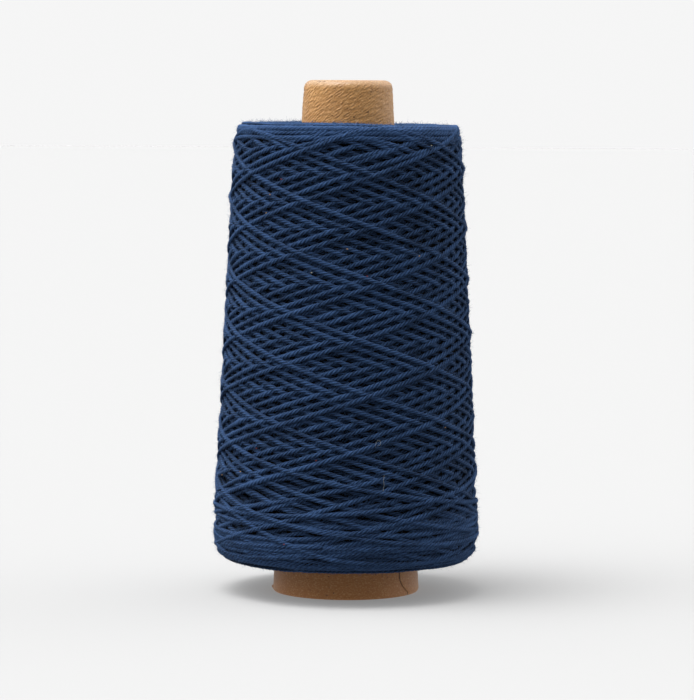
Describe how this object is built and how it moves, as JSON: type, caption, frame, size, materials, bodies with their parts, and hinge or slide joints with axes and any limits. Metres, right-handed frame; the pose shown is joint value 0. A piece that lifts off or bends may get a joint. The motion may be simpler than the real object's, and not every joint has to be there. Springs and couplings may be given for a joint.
{
  "type": "cone of yarn",
  "caption": "Navy blue cotton yarn cross-wound on a slightly tapered brown paper cone with a rounded nose.",
  "frame": {"origin": "on the cone's axis, in the plane of its wide open end, where it stands on the floor", "axes": "+Z along the axis, from the wide end up to the rounded nose; the front faces -Y"},
  "size_m": [0.089, 0.089, 0.17],
  "materials": {
    "kraft_paper": "matt brown kraft paper",
    "cotton_yarn": "soft matt navy cotton"
  },
  "bodies": {
    "root": {"cone_inner_ply": "kraft_paper", "cone_middle_ply": "kraft_paper", "cone_outer_ply": "kraft_paper", "yarn_inner_layers": "cotton_yarn", "yarn_outer_layers": "cotton_yarn", "yarn_top_edge_turns": "cotton_yarn", "yarn_bottom_edge_turns": "cotton_yarn"}
  },
  "joints": []
}
